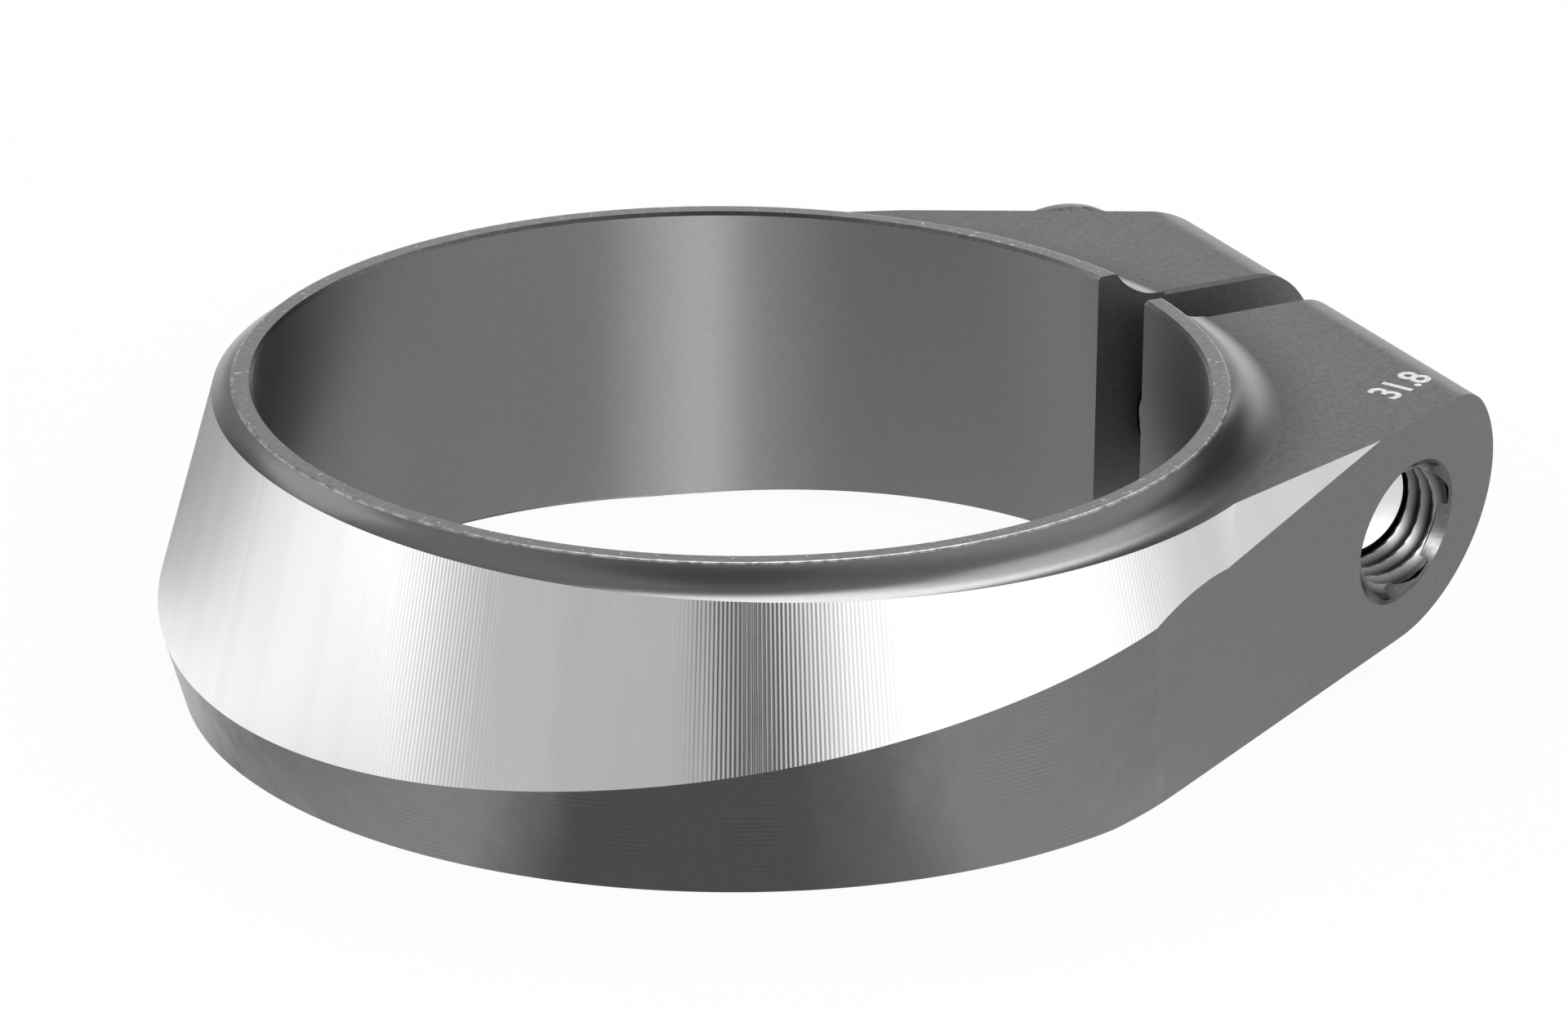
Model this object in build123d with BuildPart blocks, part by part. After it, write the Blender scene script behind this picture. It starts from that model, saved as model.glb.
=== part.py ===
"""Split seatpost clamp: a machined ring with two ears, drawn together by one M5 screw.

Millimetres. The bore axis is Z, with the origin on it at the underside. X runs along the slot
from the axis to the ears, and Y along the screw, from the threaded ear to the ear with the head.
"""

import os
from math import asin, atan2, cos, degrees, hypot, radians, sin, tan

from build123d import *

# Ring
bore_d = 31.8
lip_top = 10.65
lip_height = 0.95
lip_wall = 0.7
bore_edge_break = 0.12
cove_r = 2.0

# Lower flare: the outside widens upwards from the foot. Walls are measured from the bore
foot_wall = 2.21
foot_shift = -0.25
lower_flare = 0.196
lower_drift = -0.109

# Upper flare: the bare milled band narrows upwards to an oval
band_x_wall = 2.12
band_y_wall = 2.25
band_shift = 0.775
band_x_flare = 0.288
band_y_flare = 0.326
band_drift = 0.040

# Ears, placed from the bore, with the lobe's centre below their flat top
flank_angle = 27.0
near_flank_draft = 7.4
far_flank_draft = 5.0
cheek_angle = 20.6
cheek_wall = 2.13
cheek_draft = 25.0
lobe_out = 4.05
lobe_drop = 3.8
lobe_r = 4.75
relief_start = 5.0
ear_end_r = 1.8

# Slot between the ears, set off the axis so that the threaded ear is the thicker one
slot_w = 2.7
slot_y = 1.38

# Screw and its seat, with the axis below the top of the ears
bolt_out = 3.95
bolt_drop = 4.3
thread_d = 5.0
thread_clearance = 0.05
bolt_length = 16.0
bolt_tip_break = 0.5
head_d = 7.8
head_h = 5.0
head_edge_break = 0.5
socket_af = 4.0
socket_depth = 2.6
seat_y = 8.5
pocket_clearance = 0.1
shank_clearance = 0.25
mouth_break = 0.25

# Reach of the tools that cut right through, and how far they start outside the metal
tool_reach = 30.0
overshoot = 1.0

bore_r = bore_d / 2
ear_top = lip_top - lip_height
lobe_z = ear_top - lobe_drop
bolt_z = ear_top - bolt_drop
foot_r = bore_r + foot_wall
band_x_r = bore_r + band_x_wall
band_y_r = bore_r + band_y_wall
cheek_reach = bore_r + cheek_wall
lobe_x = bore_r + lobe_out
bolt_x = bore_r + bolt_out
lip_r = bore_r + lip_wall
cove_z = ear_top + cove_r
cove_x = lip_r + (cove_r**2 - (cove_z - lip_top) ** 2) ** 0.5
flank_foot = foot_r + foot_shift * sin(radians(flank_angle))
ear_root = foot_shift + foot_r * sin(radians(flank_angle))
relief_angle = atan2(lobe_z, lobe_x - relief_start) - asin(
    lobe_r / hypot(lobe_z, lobe_x - relief_start)
)
relief_x = lobe_x + lobe_r * sin(relief_angle)
relief_z = lobe_z - lobe_r * cos(relief_angle)
ear_root_z = (ear_root - relief_start) * tan(relief_angle)
lobe_start = degrees(relief_angle) - 90
lobe_end = degrees(asin((ear_top - lobe_z) / lobe_r))
lobe_tip_x = lobe_x + lobe_r * cos(radians(lobe_end))


def wedge(near: float, far: float, angle: float) -> list[tuple[float, float]]:
    """Corners of a plan wedge whose two sides close in on the slot at an angle, in degrees.

    near and far are the distances of the two sides from the bore axis.
    """
    a = radians(angle)
    back = -tool_reach
    front = lobe_x + 1.5 * lobe_r
    return [
        (back, -(near - back * sin(a)) / cos(a)),
        (front, -(near - front * sin(a)) / cos(a)),
        (front, (far - front * sin(a)) / cos(a)),
        (back, (far - back * sin(a)) / cos(a)),
    ]


# Both ears in one block: flared cheeks, and in side view a lobe about the screw
with BuildPart() as ears:
    with BuildSketch(Plane.XY):
        cheek_low = cheek_reach + ear_top * tan(radians(cheek_draft))
        Polygon(*wedge(cheek_low, cheek_low, cheek_angle), align=None)
    with BuildSketch(Plane.XY.offset(lip_top)):
        cheek_high = cheek_reach - (lip_top - ear_top) * tan(radians(cheek_draft))
        Polygon(*wedge(cheek_high, cheek_high, cheek_angle), align=None)
    loft(ruled=True)
    with BuildSketch(Plane.XZ) as side_view:
        with BuildLine():
            Line((ear_root, ear_root_z), (relief_x, relief_z))
            CenterArc((lobe_x, lobe_z), lobe_r, lobe_start, lobe_end - lobe_start)
            Line((lobe_tip_x, ear_top), (ear_root, ear_top))
            Line((ear_root, ear_top), (ear_root, ear_root_z))
        make_face()
        end_corner = side_view.vertices().group_by(Axis.Y)[-1].sort_by(Axis.X)[-1]
        fillet(end_corner, ear_end_r)
    extrude(amount=tool_reach, both=True, mode=Mode.INTERSECT)

with BuildPart() as collar:
    # Lower flare of the ring
    with BuildSketch(Plane.XY):
        with Locations((foot_shift, 0)):
            Circle(foot_r)
    with BuildSketch(Plane.XY.offset(lip_top)):
        with Locations((foot_shift + lower_drift * lip_top, 0)):
            Circle(foot_r + lower_flare * lip_top)
    loft(ruled=True)
    # Upper flare, the milled band
    with BuildSketch(Plane.XY):
        with Locations((band_shift + band_drift * ear_top, 0)):
            Ellipse(band_x_r + band_x_flare * ear_top, band_y_r + band_y_flare * ear_top)
    with BuildSketch(Plane.XY.offset(lip_top)):
        with Locations((band_shift - band_drift * (lip_top - ear_top), 0)):
            Ellipse(
                band_x_r - band_x_flare * (lip_top - ear_top),
                band_y_r - band_y_flare * (lip_top - ear_top),
            )
    loft(ruled=True, mode=Mode.INTERSECT)
    add(ears.part)
    # Flat flanks, drafted, run from the ears on into the ring
    near_rise = tan(radians(near_flank_draft))
    far_rise = tan(radians(far_flank_draft))
    for z in (-overshoot, lip_top + overshoot):
        with BuildSketch(Plane.XY.offset(z)):
            Polygon(*wedge(flank_foot + z * near_rise, flank_foot + z * far_rise, flank_angle), align=None)
    loft(ruled=True, mode=Mode.INTERSECT)
    # Sloped relief under the ears
    with BuildSketch(Plane.XZ):
        Polygon(
            (relief_start, 0),
            (relief_x, relief_z),
            (relief_x, -overshoot),
            (relief_start, -overshoot),
            align=None,
        )
    extrude(amount=tool_reach, both=True, mode=Mode.SUBTRACT)
    # Lip with a cove down to the flat top of the ears
    with BuildSketch(Plane.XZ):
        with BuildLine():
            Line((lip_r, lip_top + overshoot), (lip_r, lip_top))
            RadiusArc((lip_r, lip_top), (cove_x, ear_top), -cove_r)
            Line((cove_x, ear_top), (tool_reach, ear_top))
            Line((tool_reach, ear_top), (tool_reach, lip_top + overshoot))
            Line((tool_reach, lip_top + overshoot), (lip_r, lip_top + overshoot))
        make_face()
    revolve(axis=Axis.Z, mode=Mode.SUBTRACT)
    # Bore
    with BuildSketch(Plane.XY):
        Circle(bore_r)
    extrude(amount=lip_top, mode=Mode.SUBTRACT)
    bore_rims = collar.edges().filter_by(GeomType.CIRCLE).filter_by(
        lambda e: abs(e.radius - bore_r) < 1e-4
    )
    chamfer(bore_rims, bore_edge_break)
    # Slot
    with BuildSketch(Plane.XY):
        with Locations((tool_reach / 2, slot_y)):
            Rectangle(tool_reach, slot_w)
    extrude(amount=lip_top, mode=Mode.SUBTRACT)
    # Threaded hole in the near ear, at the thread's outer diameter
    with BuildSketch(Plane.XZ.offset(-slot_y)):
        with Locations((bolt_x, bolt_z)):
            Circle(thread_d / 2)
    extrude(amount=tool_reach, mode=Mode.SUBTRACT)
    hole_rims = collar.edges().filter_by(
        lambda e: abs(e.bounding_box().center().X - bolt_x) < mouth_break
        and abs(e.bounding_box().center().Z - bolt_z) < mouth_break
    )
    mouth = hole_rims.sort_by(lambda e: e.bounding_box().center().Y)[0]
    chamfer(mouth, mouth_break)
    # Clear hole and head pocket in the far ear
    with BuildSketch(Plane.XZ.offset(-slot_y)):
        with Locations((bolt_x, bolt_z)):
            Circle(thread_d / 2 + shank_clearance)
    extrude(amount=-tool_reach, mode=Mode.SUBTRACT)
    with BuildSketch(Plane.XZ.offset(-seat_y)):
        with Locations((bolt_x, bolt_z)):
            Circle(head_d / 2 + pocket_clearance)
    extrude(amount=-tool_reach, mode=Mode.SUBTRACT)

# Socket-head screw, seated in the pocket
bolt_seat = Plane(origin=(bolt_x, seat_y, bolt_z), x_dir=(1, 0, 0), z_dir=(0, 1, 0))
with BuildPart() as bolt:
    with BuildSketch(bolt_seat):
        Circle(head_d / 2)
    extrude(amount=head_h)
    chamfer(bolt.edges().group_by(Axis.Y)[-1], head_edge_break)
    with BuildSketch(bolt_seat):
        Circle(thread_d / 2 - thread_clearance)
    extrude(amount=-bolt_length)
    chamfer(bolt.edges().group_by(Axis.Y)[0], bolt_tip_break)
    with BuildSketch(bolt_seat.offset(head_h)):
        RegularPolygon(socket_af / 2, 6, major_radius=False)
    extrude(amount=-socket_depth, mode=Mode.SUBTRACT)

collar.part.label = "collar"
bolt.part.label = "bolt"

os.makedirs("parts", exist_ok=True)
export_step(collar.part, "parts/collar.step")
export_step(bolt.part, "parts/bolt.step")
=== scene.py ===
"""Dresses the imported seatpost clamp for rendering: a fine collar, its threads, the screw and a studio."""

import logging
from dataclasses import dataclass, field
from enum import Enum, IntEnum
from math import asin, atan2, cos, hypot, pi, radians, sin, tan

import bmesh
import bpy
import numpy as np
from bpy.types import ID, Material, Node, NodeSocket, NodeTree, Object
from mathutils import Matrix, Vector

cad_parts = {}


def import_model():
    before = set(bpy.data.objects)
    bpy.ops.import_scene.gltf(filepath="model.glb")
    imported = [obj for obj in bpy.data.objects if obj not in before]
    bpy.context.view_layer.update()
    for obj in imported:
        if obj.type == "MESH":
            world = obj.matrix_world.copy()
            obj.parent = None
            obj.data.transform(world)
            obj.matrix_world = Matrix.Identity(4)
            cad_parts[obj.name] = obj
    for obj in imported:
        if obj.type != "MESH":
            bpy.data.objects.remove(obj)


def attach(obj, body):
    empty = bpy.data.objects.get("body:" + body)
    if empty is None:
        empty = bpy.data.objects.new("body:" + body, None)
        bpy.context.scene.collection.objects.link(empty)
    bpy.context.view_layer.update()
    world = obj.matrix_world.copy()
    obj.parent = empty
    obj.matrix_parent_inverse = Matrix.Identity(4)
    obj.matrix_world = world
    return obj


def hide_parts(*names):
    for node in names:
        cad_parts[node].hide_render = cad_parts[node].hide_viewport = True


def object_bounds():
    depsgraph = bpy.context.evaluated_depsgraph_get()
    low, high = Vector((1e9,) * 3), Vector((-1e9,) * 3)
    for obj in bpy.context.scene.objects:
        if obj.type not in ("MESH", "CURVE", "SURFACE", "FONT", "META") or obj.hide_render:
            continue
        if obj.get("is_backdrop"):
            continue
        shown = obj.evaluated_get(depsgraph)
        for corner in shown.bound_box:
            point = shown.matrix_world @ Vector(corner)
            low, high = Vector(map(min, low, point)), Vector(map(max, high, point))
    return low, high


LOG = logging.getLogger("seatpost_clamp")
MM = 0.001
WHITE = (1.0, 1.0, 1.0, 1.0)
# How far a cutter starts outside the metal
OVERSHOOT_MM = 1.0
# Edges shorter than this, which cutting leaves behind, would shade as specks
SLIVER_MM = 0.0005
# A Mix node that multiplies two colours
TINT = {"data_type": "RGBA", "blend_type": "MULTIPLY", 0: 1.0}
# The screw's axis, which runs along Y, the seat of its head on it, and its metric thread: the pitch,
# and as shares of that one flank and half of the flat on the crest
SCREW_X_MM = 19.85
SCREW_Z_MM = 5.4
SEAT_Y_MM = 8.5
PITCH_MM = 0.8
FLANK_SHARE = 5 / 16
HALF_CREST_SHARE = 1 / 16

# An output socket, or a node whose first output is meant
Source = NodeSocket | Node
# Pairs of an azimuth, in degrees from the camera with its right as positive, and a brightness
Tones = tuple[tuple[float, float], ...]


class Region(IntEnum):
    """The finish of each face of the collar, as an index into its material slots."""

    BLASTED = 0
    SIDE = 1
    BAND = 2
    BORE = 3
    WORN = 4
    TURNED = 5
    FACED = 6
    TAPPED = 7
    FLANK = 8
    SAWN = 9


class Coat(IntEnum):
    """The finish of each face of the screw, as an index into its material slots."""

    COATED = 0
    CUT = 1


class Cut(Enum):
    """How one solid is joined with another."""

    KEEP_COMMON = "INTERSECT"
    ADD = "UNION"
    REMOVE = "DIFFERENCE"


def linear(hex_colour: str) -> tuple[float, float, float, float]:
    """Turns an sRGB hex colour to linear light.

    Args:
        hex_colour: Colour such as "#6e6e70".

    Returns:
        Linear red, green and blue, with an alpha of one.
    """
    channels = [int(hex_colour[i : i + 2], 16) / 255 for i in (1, 3, 5)]
    r, g, b = (c / 12.92 if c <= 0.04045 else ((c + 0.055) / 1.055) ** 2.4 for c in channels)
    return r, g, b, 1.0


def add_node(
    tree: NodeTree,
    kind: str,
    settings: dict[str | int, object] | None = None,
    links: dict[str | int, Source] | None = None,
) -> Node:
    """Adds a node with its settings and links.

    Args:
        tree: Node tree that takes the node.
        kind: Blender's type name, without the ShaderNode prefix.
        settings: Attributes, input values by name or number, and a ramp's "stops".
        links: What to join to inputs, by name or number.

    Returns:
        The new node.
    """
    node = tree.nodes.new("ShaderNode" + kind)
    for key, value in (settings or {}).items():
        if key == "stops":
            ramp = node.color_ramp.elements
            while len(ramp) < len(value):
                ramp.new(1.0)
            for element, (place, level) in zip(ramp, value):
                element.position = place
                element.color = (level, level, level, 1.0)
        elif isinstance(key, str) and hasattr(node, key):
            setattr(node, key, value)
        else:
            node.inputs[key].default_value = value
    for key, source in (links or {}).items():
        socket = source.outputs[0] if isinstance(source, Node) else source
        tree.links.new(socket, node.inputs[key])
    return node


def blank_material(name: str) -> tuple[Material, NodeTree]:
    """Makes a material with no nodes.

    Args:
        name: Name of the material.

    Returns:
        The material and its node tree.
    """
    material = bpy.data.materials.new(name)
    material.use_nodes = True
    material.node_tree.nodes.clear()
    return material, material.node_tree


def in_scene(name: str, data: ID) -> Object:
    """Makes an object of a mesh, a curve or a camera, and puts it in the scene.

    Args:
        name: Name of the object.
        data: What the object shows.

    Returns:
        The new object.
    """
    thing = bpy.data.objects.new(name, data)
    bpy.context.scene.collection.objects.link(thing)
    return thing


def flat_sheet(name: str, across: float, tall: float) -> Object:
    """Makes a flat rectangle about the origin.

    Args:
        name: Name of the sheet.
        across: Half of its width, in metres.
        tall: Half of its height, in metres.

    Returns:
        The sheet, in the scene.
    """
    mesh = bpy.data.meshes.new(name)
    corners = [(-across, -tall, 0), (across, -tall, 0), (across, tall, 0), (-across, tall, 0)]
    mesh.from_pydata(corners, [], [(0, 1, 2, 3)])
    return in_scene(name, mesh)


def lofted(
    rings: list[np.ndarray],
    regions: IntEnum | list[IntEnum],
    ends: tuple[IntEnum, IntEnum] = (Region.BLASTED, Region.BLASTED),
    wrap: bool = False,
) -> Object:
    """Makes a closed solid through rings of points.

    Args:
        rings: Closed rings with the same number of points, in millimetres.
        regions: Finish of the strips between the rings, one for all or one for each.
        ends: Finishes of the flat ends, at the first and the last ring.
        wrap: Joins the last ring to the first in place of flat ends.

    Returns:
        A new object in the scene, which no body carries yet.
    """
    n = len(rings[0])
    strips = len(rings) if wrap else len(rings) - 1
    faces: list[tuple[int, ...]] = []
    marks: list[int] = []
    for k in range(strips):
        a, b = k * n, ((k + 1) % len(rings)) * n
        faces += [(a + i, a + (i + 1) % n, b + (i + 1) % n, b + i) for i in range(n)]
        marks += [regions if isinstance(regions, IntEnum) else regions[k]] * n
    if not wrap:
        faces += [tuple(range(n))[::-1], tuple(range((len(rings) - 1) * n, len(rings) * n))]
        marks += ends
    mesh = bpy.data.meshes.new("solid")
    mesh.from_pydata(np.vstack(rings).tolist(), [], faces)
    mesh.polygons.foreach_set("material_index", marks)
    for _ in type(ends[0]):
        mesh.materials.append(None)
    work = bmesh.new()
    work.from_mesh(mesh)
    bmesh.ops.recalc_face_normals(work, faces=work.faces)
    work.to_mesh(mesh)
    work.free()
    return in_scene("solid", mesh)


def joined(body: Object, tool: Object, how: Cut) -> Object:
    """Joins a tool solid with a body, and drops the tool.

    Args:
        body: Solid that stays.
        tool: Solid that is used up.
        how: Whether the two are added, subtracted or intersected.

    Returns:
        The body, with its new mesh.
    """
    step = body.modifiers.new("step", "BOOLEAN")
    step.operation = how.value
    step.solver = "MANIFOLD"
    step.object = tool
    graph = bpy.context.evaluated_depsgraph_get()
    mesh = bpy.data.meshes.new_from_object(body.evaluated_get(graph))
    body.modifiers.clear()
    body.data = mesh
    bpy.data.objects.remove(tool)
    return body


def ring_at(radius: np.ndarray | float, height: float, count: int) -> np.ndarray:
    """Gives a ring of points about Z.

    Args:
        radius: One radius, or one for each point.
        height: Place along Z.
        count: Number of points.

    Returns:
        Points, one row each.
    """
    angle = np.linspace(0, 2 * pi, count, endpoint=False)
    return np.c_[radius * np.cos(angle), radius * np.sin(angle), np.full(count, height)]


def screw_ring(radius: np.ndarray | float, y: float, count: int) -> np.ndarray:
    """Gives a ring of points about the screw's axis.

    Args:
        radius: One radius, or one for each point.
        y: Place along the axis.
        count: Number of points.

    Returns:
        Points, one row each.
    """
    flat = ring_at(radius, 0.0, count)
    return np.c_[SCREW_X_MM + flat[:, 0], np.full(count, y), SCREW_Z_MM + flat[:, 1]]


def finished(solid: Object, name: str, crease_deg: float) -> Object:
    """Turns a working solid in millimetres to a clean, smooth-shaded piece in metres.

    Args:
        solid: Solid to finish.
        name: Name of the piece.
        crease_deg: Angle above which an edge stays sharp.

    Returns:
        The same object, named and scaled.
    """
    mesh = solid.data
    work = bmesh.new()
    work.from_mesh(mesh)
    bmesh.ops.triangulate(work, faces=work.faces)
    bmesh.ops.dissolve_degenerate(work, dist=SLIVER_MM, edges=work.edges)
    work.to_mesh(mesh)
    work.free()
    mesh.transform(Matrix.Scale(MM, 4))
    mesh.shade_smooth()
    mesh.set_sharp_from_angle(angle=radians(crease_deg))
    solid.name = mesh.name = name
    return solid


@dataclass(frozen=True)
class AnodisedAluminium:
    """Grey anodised aluminium: a dark, even film that dims the metal's reflection without hiding it."""

    name: str
    colour: str
    roughness: float
    grit_mm: float
    grit_depth_mm: float
    grit_tone: float
    scallop_mm: float = 0.0
    scallop_tone: float = 0.0
    scallop_patch_mm: float = 4.0
    # Values of the noise between which the scallops come up, and the nicks
    scallop_range: tuple[float, float] = (0.48, 0.66)
    nick_range: tuple[float, float] = (0.66, 0.7)
    sway_mm: float = 0.0
    sway_depth_mm: float = 0.0
    nick_mm: float = 0.0
    nick_colour: str = "#d8d8da"
    inner_roughness: float = 0.0
    blend_mm: tuple[float, float] = (0.0, 0.0)
    anisotropy: float = 0.0
    turn: float = 0.0

    def scallops(self, tree: NodeTree, place: NodeSocket) -> Node:
        """Gives the tone of a ball mill's scallops, which ran round the side one above the other.

        Args:
            tree: Node tree that takes the nodes.
            place: Place on the part.

        Returns:
            A tone about one, which shows in patches.
        """
        apart = add_node(tree, "SeparateXYZ", {}, {"Vector": place})
        patch_scale = 1 / (self.scallop_patch_mm * MM)
        patch = add_node(tree, "TexNoise", {"Scale": patch_scale, "Detail": 1.0}, {"Vector": place})
        low, high = self.scallop_range
        strength = add_node(tree, "MapRange", {"From Min": low, "From Max": high}, {"Value": patch})
        turns = 2 * pi / (self.scallop_mm * MM)
        wave = add_node(tree, "Math", {"operation": "MULTIPLY", 1: turns}, {0: apart.outputs["Z"]})
        crest = add_node(tree, "Math", {"operation": "SINE"}, {0: wave})
        shown = add_node(tree, "Math", {"operation": "MULTIPLY"}, {0: crest, 1: strength})
        about_one = {"operation": "MULTIPLY_ADD", 1: self.scallop_tone, 2: 1.0}
        return add_node(tree, "Math", about_one, {0: shown})

    def make(self) -> Material:
        """Builds the material.

        Returns:
            A material with grit, and with scallops, soft waves or bare nicks where the finish has them.
        """
        material, tree = blank_material(self.name)
        place = add_node(tree, "TexCoord").outputs["Object"]
        grain = {"Scale": 1 / (self.grit_mm * MM), "Detail": 3.0, "Roughness": 0.6}
        grit = add_node(tree, "TexNoise", grain, {"Vector": place})
        stops = [(0.3, 1 - self.grit_tone), (0.55, 1.0), (0.72, 1 + self.grit_tone)]
        tone = add_node(tree, "ValToRGB", {"stops": stops}, {"Fac": grit})
        colour = add_node(tree, "Mix", TINT | {6: linear(self.colour)}, {7: tone}).outputs[2]
        normal = add_node(tree, "Bump", {"Distance": self.grit_depth_mm * MM}, {"Height": grit})
        if self.scallop_mm:
            colour = add_node(tree, "Mix", TINT, {6: colour, 7: self.scallops(tree, place)}).outputs[2]
        if self.sway_mm:
            # Soft waves that make the edge of a reflection cloudy
            sway = add_node(
                tree, "TexNoise", {"Scale": 1 / (self.sway_mm * MM), "Detail": 1.5}, {"Vector": place}
            )
            depth = self.sway_depth_mm * MM
            normal = add_node(tree, "Bump", {"Distance": depth}, {"Height": sway, "Normal": normal})
        if self.nick_mm:
            # Small nicks through the film, down to bare metal
            nick = add_node(
                tree, "TexNoise", {"Scale": 1 / (self.nick_mm * MM), "Detail": 2.0}, {"Vector": place}
            )
            stops = list(zip(self.nick_range, (0.0, 1.0)))
            bare = add_node(tree, "ValToRGB", {"stops": stops}, {"Fac": nick})
            bright = {"data_type": "RGBA", 7: linear(self.nick_colour)}
            colour = add_node(tree, "Mix", bright, {0: bare, 6: colour}).outputs[2]
        metal = {"Metallic": 1.0, "Roughness": self.roughness}
        metal |= {"Anisotropic": self.anisotropy, "Anisotropic Rotation": self.turn}
        shader = add_node(tree, "BsdfPrincipled", metal, {"Base Color": colour, "Normal": normal})
        if self.inner_roughness:
            # The blast fades where the flat runs into the turned cove
            flat = add_node(tree, "VectorMath", {"operation": "MULTIPLY", 1: (1.0, 1.0, 0.0)}, {0: place})
            out = add_node(tree, "VectorMath", {"operation": "LENGTH"}, {0: flat})
            near, far = (r * MM for r in self.blend_mm)
            span = {"From Min": near, "From Max": far}
            span |= {"To Min": self.inner_roughness, "To Max": self.roughness}
            gloss = add_node(tree, "MapRange", span, {"Value": out.outputs["Value"]})
            tree.links.new(gloss.outputs["Result"], shader.inputs["Roughness"])
        if self.anisotropy:
            marks = add_node(tree, "Tangent", {"direction_type": "RADIAL", "axis": "Z"})
            tree.links.new(marks.outputs["Tangent"], shader.inputs["Tangent"])
        add_node(tree, "OutputMaterial", {}, {"Surface": shader})
        return material


@dataclass(frozen=True)
class TappedAluminium:
    """A thread cut in anodised aluminium: rubbed light on its crests by wear, with painted shade down in
    its roots.
    """

    name: str = "tapped_aluminium_painted_shade"
    crest_colour: str = "#8e8e8f"
    # Painted shade: the darker colour that the thread takes down in its roots
    root_shade_colour: str = "#3c3c3d"
    roughness: float = 0.35
    crest_r_mm: float = 2.08
    root_r_mm: float = 2.36

    def make(self) -> Material:
        """Builds the material.

        Returns:
            A material that darkens with the distance from the screw's axis: painted shade down in the
            roots.
        """
        material, tree = blank_material(self.name)
        place = add_node(tree, "TexCoord").outputs["Object"]
        axis = (SCREW_X_MM * MM, 0.0, SCREW_Z_MM * MM)
        off = add_node(tree, "VectorMath", {"operation": "SUBTRACT", 1: axis}, {0: place})
        flat = add_node(tree, "VectorMath", {"operation": "MULTIPLY", 1: (1.0, 0.0, 1.0)}, {0: off})
        out = add_node(tree, "VectorMath", {"operation": "LENGTH"}, {0: flat})
        # Painted shade: the colour darkens from the crests down into the roots
        span = {"From Min": self.crest_r_mm * MM, "From Max": self.root_r_mm * MM}
        depth = add_node(tree, "MapRange", span, {"Value": out.outputs["Value"]})
        colours = {"data_type": "RGBA", 6: linear(self.crest_colour), 7: linear(self.root_shade_colour)}
        colour = add_node(tree, "Mix", colours, {0: depth})
        shader = add_node(
            tree,
            "BsdfPrincipled",
            {"Metallic": 1.0, "Roughness": self.roughness},
            {"Base Color": colour.outputs[2]},
        )
        add_node(tree, "OutputMaterial", {}, {"Surface": shader})
        return material


@dataclass(frozen=True)
class MilledAluminium:
    """Bare aluminium cut by a ball mill in upright passes: bright, with fine streaks from lip to foot."""

    name: str = "bare_milled_aluminium"
    colour: str = "#f1f1f1"
    roughness: float = 0.145
    anisotropy: float = 0.4
    pass_mm: float = 0.147
    pass_depth_mm: float = 0.0012
    # Unevenness from pass to pass: its noise for each radian of a pass, and its height in troughs
    lean_scale: float = 0.12
    lean_share: float = 1.2
    fade_mm: tuple[float, float] = (4.0, 10.0)
    streak_mm: float = 1.3
    streak_stretch: float = 20.0
    streak_depth_mm: float = 0.0015
    streak_tone: float = 0.96
    radius_mm: float = 19.3

    def make(self) -> Material:
        """Builds the material.

        Returns:
            A material whose passes run along the band's height, each one a shallow trough.
        """
        material, tree = blank_material(self.name)
        place = add_node(tree, "TexCoord").outputs["Object"]
        apart = add_node(tree, "SeparateXYZ", {}, {"Vector": place})
        angle = add_node(
            tree, "Math", {"operation": "ARCTAN2"}, {0: apart.outputs["Y"], 1: apart.outputs["X"]}
        )
        # The passes, each of them a little deeper or shallower than the next
        passes = float(round(2 * pi * self.radius_mm / self.pass_mm))
        phase = add_node(tree, "Math", {"operation": "MULTIPLY", 1: passes}, {0: angle})
        ripple = add_node(tree, "Math", {"operation": "SINE"}, {0: phase})
        uneven = {"noise_dimensions": "1D", "Scale": self.lean_scale, "Detail": 1.0}
        lean = add_node(tree, "TexNoise", uneven, {"W": phase})
        trough = add_node(
            tree, "Math", {"operation": "MULTIPLY_ADD", 1: self.lean_share}, {0: lean, 2: ripple}
        )
        # They fade out towards the cheeks of the ears
        near, far = (x * MM for x in self.fade_mm)
        span = {"From Min": near, "From Max": far, "To Min": 1.0, "To Max": 0.0}
        fade = add_node(tree, "MapRange", span, {"Value": apart.outputs["X"]})
        faded = add_node(tree, "Math", {"operation": "MULTIPLY"}, {0: trough, 1: fade})
        cut = add_node(tree, "Bump", {"Distance": self.pass_depth_mm * MM}, {"Height": faded})
        # Broad streaks, drawn out upright
        round_mm = add_node(tree, "Math", {"operation": "MULTIPLY", 1: self.radius_mm}, {0: angle})
        squeeze = 1 / (self.streak_stretch * MM)
        up_mm = add_node(tree, "Math", {"operation": "MULTIPLY", 1: squeeze}, {0: apart.outputs["Z"]})
        along = add_node(tree, "CombineXYZ", {}, {"X": round_mm, "Y": up_mm})
        broad = add_node(
            tree,
            "TexNoise",
            {"noise_dimensions": "2D", "Scale": 1 / self.streak_mm, "Detail": 2.0, "Roughness": 0.5},
            {"Vector": along},
        )
        depth = self.streak_depth_mm * MM
        bump = add_node(tree, "Bump", {"Distance": depth}, {"Height": broad, "Normal": cut})
        tone = add_node(tree, "ValToRGB", {"stops": [(0.3, self.streak_tone), (0.6, 1.0)]}, {"Fac": broad})
        colour = add_node(tree, "Mix", TINT | {6: linear(self.colour)}, {7: tone}).outputs[2]
        grain = add_node(tree, "Tangent", {"direction_type": "RADIAL", "axis": "Z"})
        shader = add_node(
            tree,
            "BsdfPrincipled",
            {"Metallic": 1.0, "Roughness": self.roughness, "Anisotropic": self.anisotropy},
            {"Base Color": colour, "Normal": bump, "Tangent": grain},
        )
        add_node(tree, "OutputMaterial", {}, {"Surface": shader})
        return material


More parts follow.
